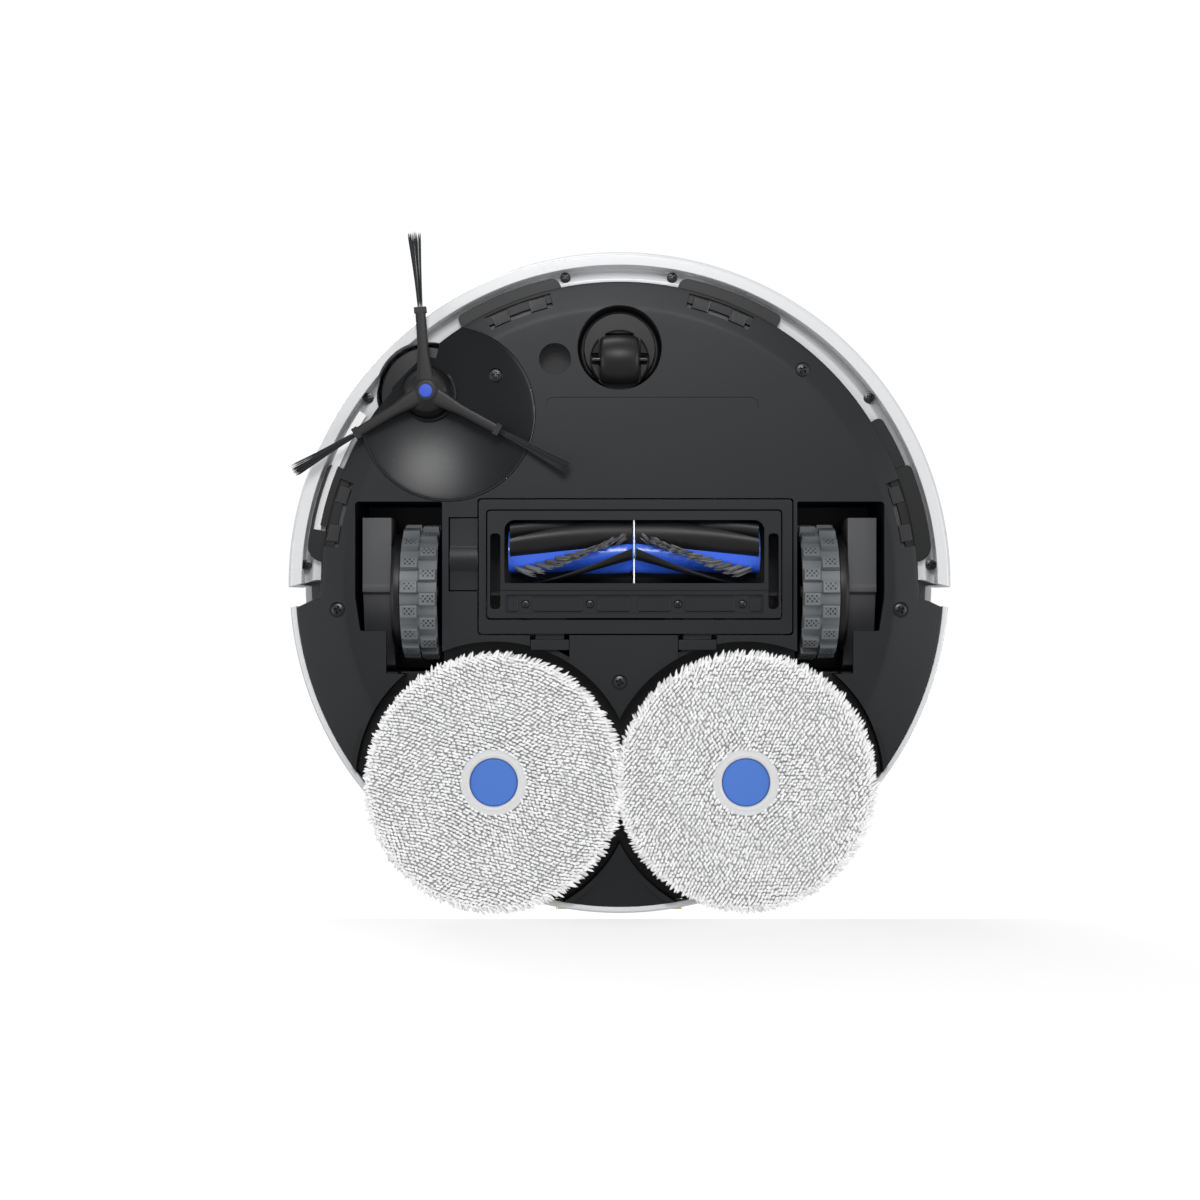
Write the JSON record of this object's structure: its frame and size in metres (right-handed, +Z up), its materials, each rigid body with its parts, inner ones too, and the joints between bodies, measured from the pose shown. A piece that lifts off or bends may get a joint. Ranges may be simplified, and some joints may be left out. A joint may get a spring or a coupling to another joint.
{
  "type": "robot vacuum",
  "caption": "Round robot vacuum with spinning mop pads, side brush, roller brush, sprung drive wheels, swivel caster, sliding bumper and turret.",
  "frame": {"origin": "middle of the whole outline seen from above, side brush included, on the floor under the wheels; the round body's own centre is 4 mm behind it", "axes": "+Z up, the bumper faces -Y, +X is the robot's left"},
  "size_m": [0.351, 0.356, 0.098],
  "materials": {
    "black_plastic": "fine spark-eroded grain, satin",
    "grey_plastic": "fine grain, satin",
    "white_plastic": "smooth, soft gloss",
    "gloss_black": "polished infrared window",
    "grey_rubber": "moulded tread, matt",
    "black_rubber": "satin",
    "blue_plastic": "satin",
    "nylon_bristle": "fine round bristles",
    "microfibre": "looped chenille pile",
    "steel": "drawn, bright",
    "circuit_board": "solder mask",
    "battery_wrap": "shrink wrap",
    "smoke_plastic": "smoked, semi clear",
    "contact_metal": "plated"
  },
  "bodies": {
    "chassis": {"base_plate": "black_plastic", "mop_bay": "black_plastic", "rear_shell": "white_plastic", "top_shell": "white_plastic", "chassis_wall": "grey_plastic", "battery_cover": "black_plastic", "battery_pack": "battery_wrap", "brush_housing": "black_plastic", "brush_gearbox": "grey_plastic", "suction_fan": "grey_plastic", "dust_bin": "smoke_plastic", "main_board": "circuit_board", "water_tank": "smoke_plastic", "side_brush_bay": "black_plastic", "side_brush_motor": "steel", "caster_socket": "black_plastic", "carpet_sensor": "gloss_black", "left_wheel_housing": "black_plastic", "left_charge_contact": "contact_metal", "left_front_cliff_sensor": "gloss_black", "left_side_cliff_sensor": "gloss_black", "right_wheel_housing": "black_plastic", "right_charge_contact": "contact_metal", "right_front_cliff_sensor": "gloss_black", "right_side_cliff_sensor": "gloss_black", "lidar_base": "black_plastic", "lidar_cover": "white_plastic"},
    "bumper": {"bumper": "white_plastic", "front_window": "gloss_black"},
    "lidar_rotor": {"lidar_rotor": "gloss_black"},
    "top_lid": {"top_lid": "white_plastic"},
    "power_button": {"power_button": "white_plastic"},
    "side_brush": {"side_brush_hub": "black_rubber", "side_brush_cap": "blue_plastic", "side_brush_bristles_1": "nylon_bristle", "side_brush_bristles_2": "nylon_bristle", "side_brush_bristles_3": "nylon_bristle"},
    "caster_fork": {"caster_fork": "black_plastic", "caster_axle": "steel"},
    "caster_wheel": {"caster_wheel": "black_rubber"},
    "left_suspension": {"left_drive_unit": "grey_plastic"},
    "left_wheel": {"left_rim": "black_plastic", "left_tyre": "grey_rubber"},
    "right_suspension": {"right_drive_unit": "grey_plastic"},
    "right_wheel": {"right_rim": "black_plastic", "right_tyre": "grey_rubber"},
    "main_roller": {"brush_core": "blue_plastic", "brush_blades_left": "black_rubber", "brush_blades_right": "black_rubber"},
    "brush_cover": {"brush_cover": "black_plastic", "guard_wire": "steel"},
    "left_latch": {"left_cover_latch": "black_plastic"},
    "right_latch": {"right_cover_latch": "black_plastic"},
    "mop_lift": {"mop_carriage": "grey_plastic"},
    "left_mop": {"left_mop_disc": "white_plastic", "left_mop_hub_cap": "blue_plastic", "left_mop_pad": "microfibre"},
    "right_mop": {"right_mop_disc": "white_plastic", "right_mop_hub_cap": "blue_plastic", "right_mop_pad": "microfibre"}
  },
  "joints": [
    {"name": "bumper_press", "type": "slide", "parent": "chassis", "child": "bumper", "axis": [0, 1, 0], "range_m": [0, 0.0025], "stiffness_N_per_m": 400},
    {"name": "lidar_spin", "type": "hinge", "parent": "chassis", "child": "lidar_rotor", "pos_m": [0, 0.046, 0.085], "axis": [0, 0, 1], "continuous": true},
    {"name": "lid_open", "type": "hinge", "parent": "chassis", "child": "top_lid", "pos_m": [0, -0.0525, 0.082], "axis": [-1, 0, 0], "range_deg": [0, 85]},
    {"name": "power_press", "type": "slide", "parent": "chassis", "child": "power_button", "axis": [0, 0, -1], "range_m": [0, 0.0012], "stiffness_N_per_m": 300},
    {"name": "side_brush_spin", "type": "hinge", "parent": "chassis", "child": "side_brush", "pos_m": [-0.1014, -0.0964, 0.01], "axis": [0, 0, 1], "continuous": true},
    {"name": "caster_swivel", "type": "hinge", "parent": "chassis", "child": "caster_fork", "pos_m": [0, -0.1198, 0.03], "axis": [0, 0, 1], "continuous": true},
    {"name": "caster_roll", "type": "hinge", "parent": "caster_fork", "child": "caster_wheel", "pos_m": [0, -0.1137, 0.013], "axis": [1, 0, 0], "continuous": true},
    {"name": "left_suspension_drop", "type": "hinge", "parent": "chassis", "child": "left_suspension", "pos_m": [0.128, 0.044, 0.044], "axis": [1, 0, 0], "range_deg": [0, 14], "stiffness_Nm_per_rad": 0.4, "springref_deg": 20.05},
    {"name": "left_wheel_spin", "type": "hinge", "parent": "left_suspension", "child": "left_wheel", "pos_m": [0.1055, 0.009, 0.0365], "axis": [1, 0, 0], "continuous": true},
    {"name": "right_suspension_drop", "type": "hinge", "parent": "chassis", "child": "right_suspension", "pos_m": [-0.128, 0.044, 0.044], "axis": [1, 0, 0], "range_deg": [0, 14], "stiffness_Nm_per_rad": 0.4, "springref_deg": 20.05},
    {"name": "right_wheel_spin", "type": "hinge", "parent": "right_suspension", "child": "right_wheel", "pos_m": [-0.1055, 0.009, 0.0365], "axis": [1, 0, 0], "continuous": true},
    {"name": "roller_spin", "type": "hinge", "parent": "chassis", "child": "main_roller", "pos_m": [0.0075, -0.0125, 0.023], "axis": [1, 0, 0], "continuous": true},
    {"name": "cover_open", "type": "hinge", "parent": "chassis", "child": "brush_cover", "pos_m": [0.0083, -0.0398, 0.0102], "axis": [-1, 0, 0], "range_deg": [0, 75]},
    {"name": "left_latch_press", "type": "slide", "parent": "brush_cover", "child": "left_latch", "axis": [0, -1, 0], "range_m": [0, 0.0025], "stiffness_N_per_m": 300},
    {"name": "right_latch_press", "type": "slide", "parent": "brush_cover", "child": "right_latch", "axis": [0, -1, 0], "range_m": [0, 0.0025], "stiffness_N_per_m": 300},
    {"name": "mop_raise", "type": "slide", "parent": "chassis", "child": "mop_lift", "axis": [0, 0, 1], "range_m": [0, 0.007]},
    {"name": "left_mop_spin", "type": "hinge", "parent": "mop_lift", "child": "left_mop", "pos_m": [0.0658, 0.1082, 0.005], "axis": [0, 0, 1], "continuous": true},
    {"name": "right_mop_spin", "type": "hinge", "parent": "mop_lift", "child": "right_mop", "pos_m": [-0.0658, 0.1082, 0.005], "axis": [0, 0, 1], "continuous": true}
  ],
  "couplings": [
    {"joint": "right_mop_spin", "follows": "left_mop_spin", "ratio": -1}
  ]
}
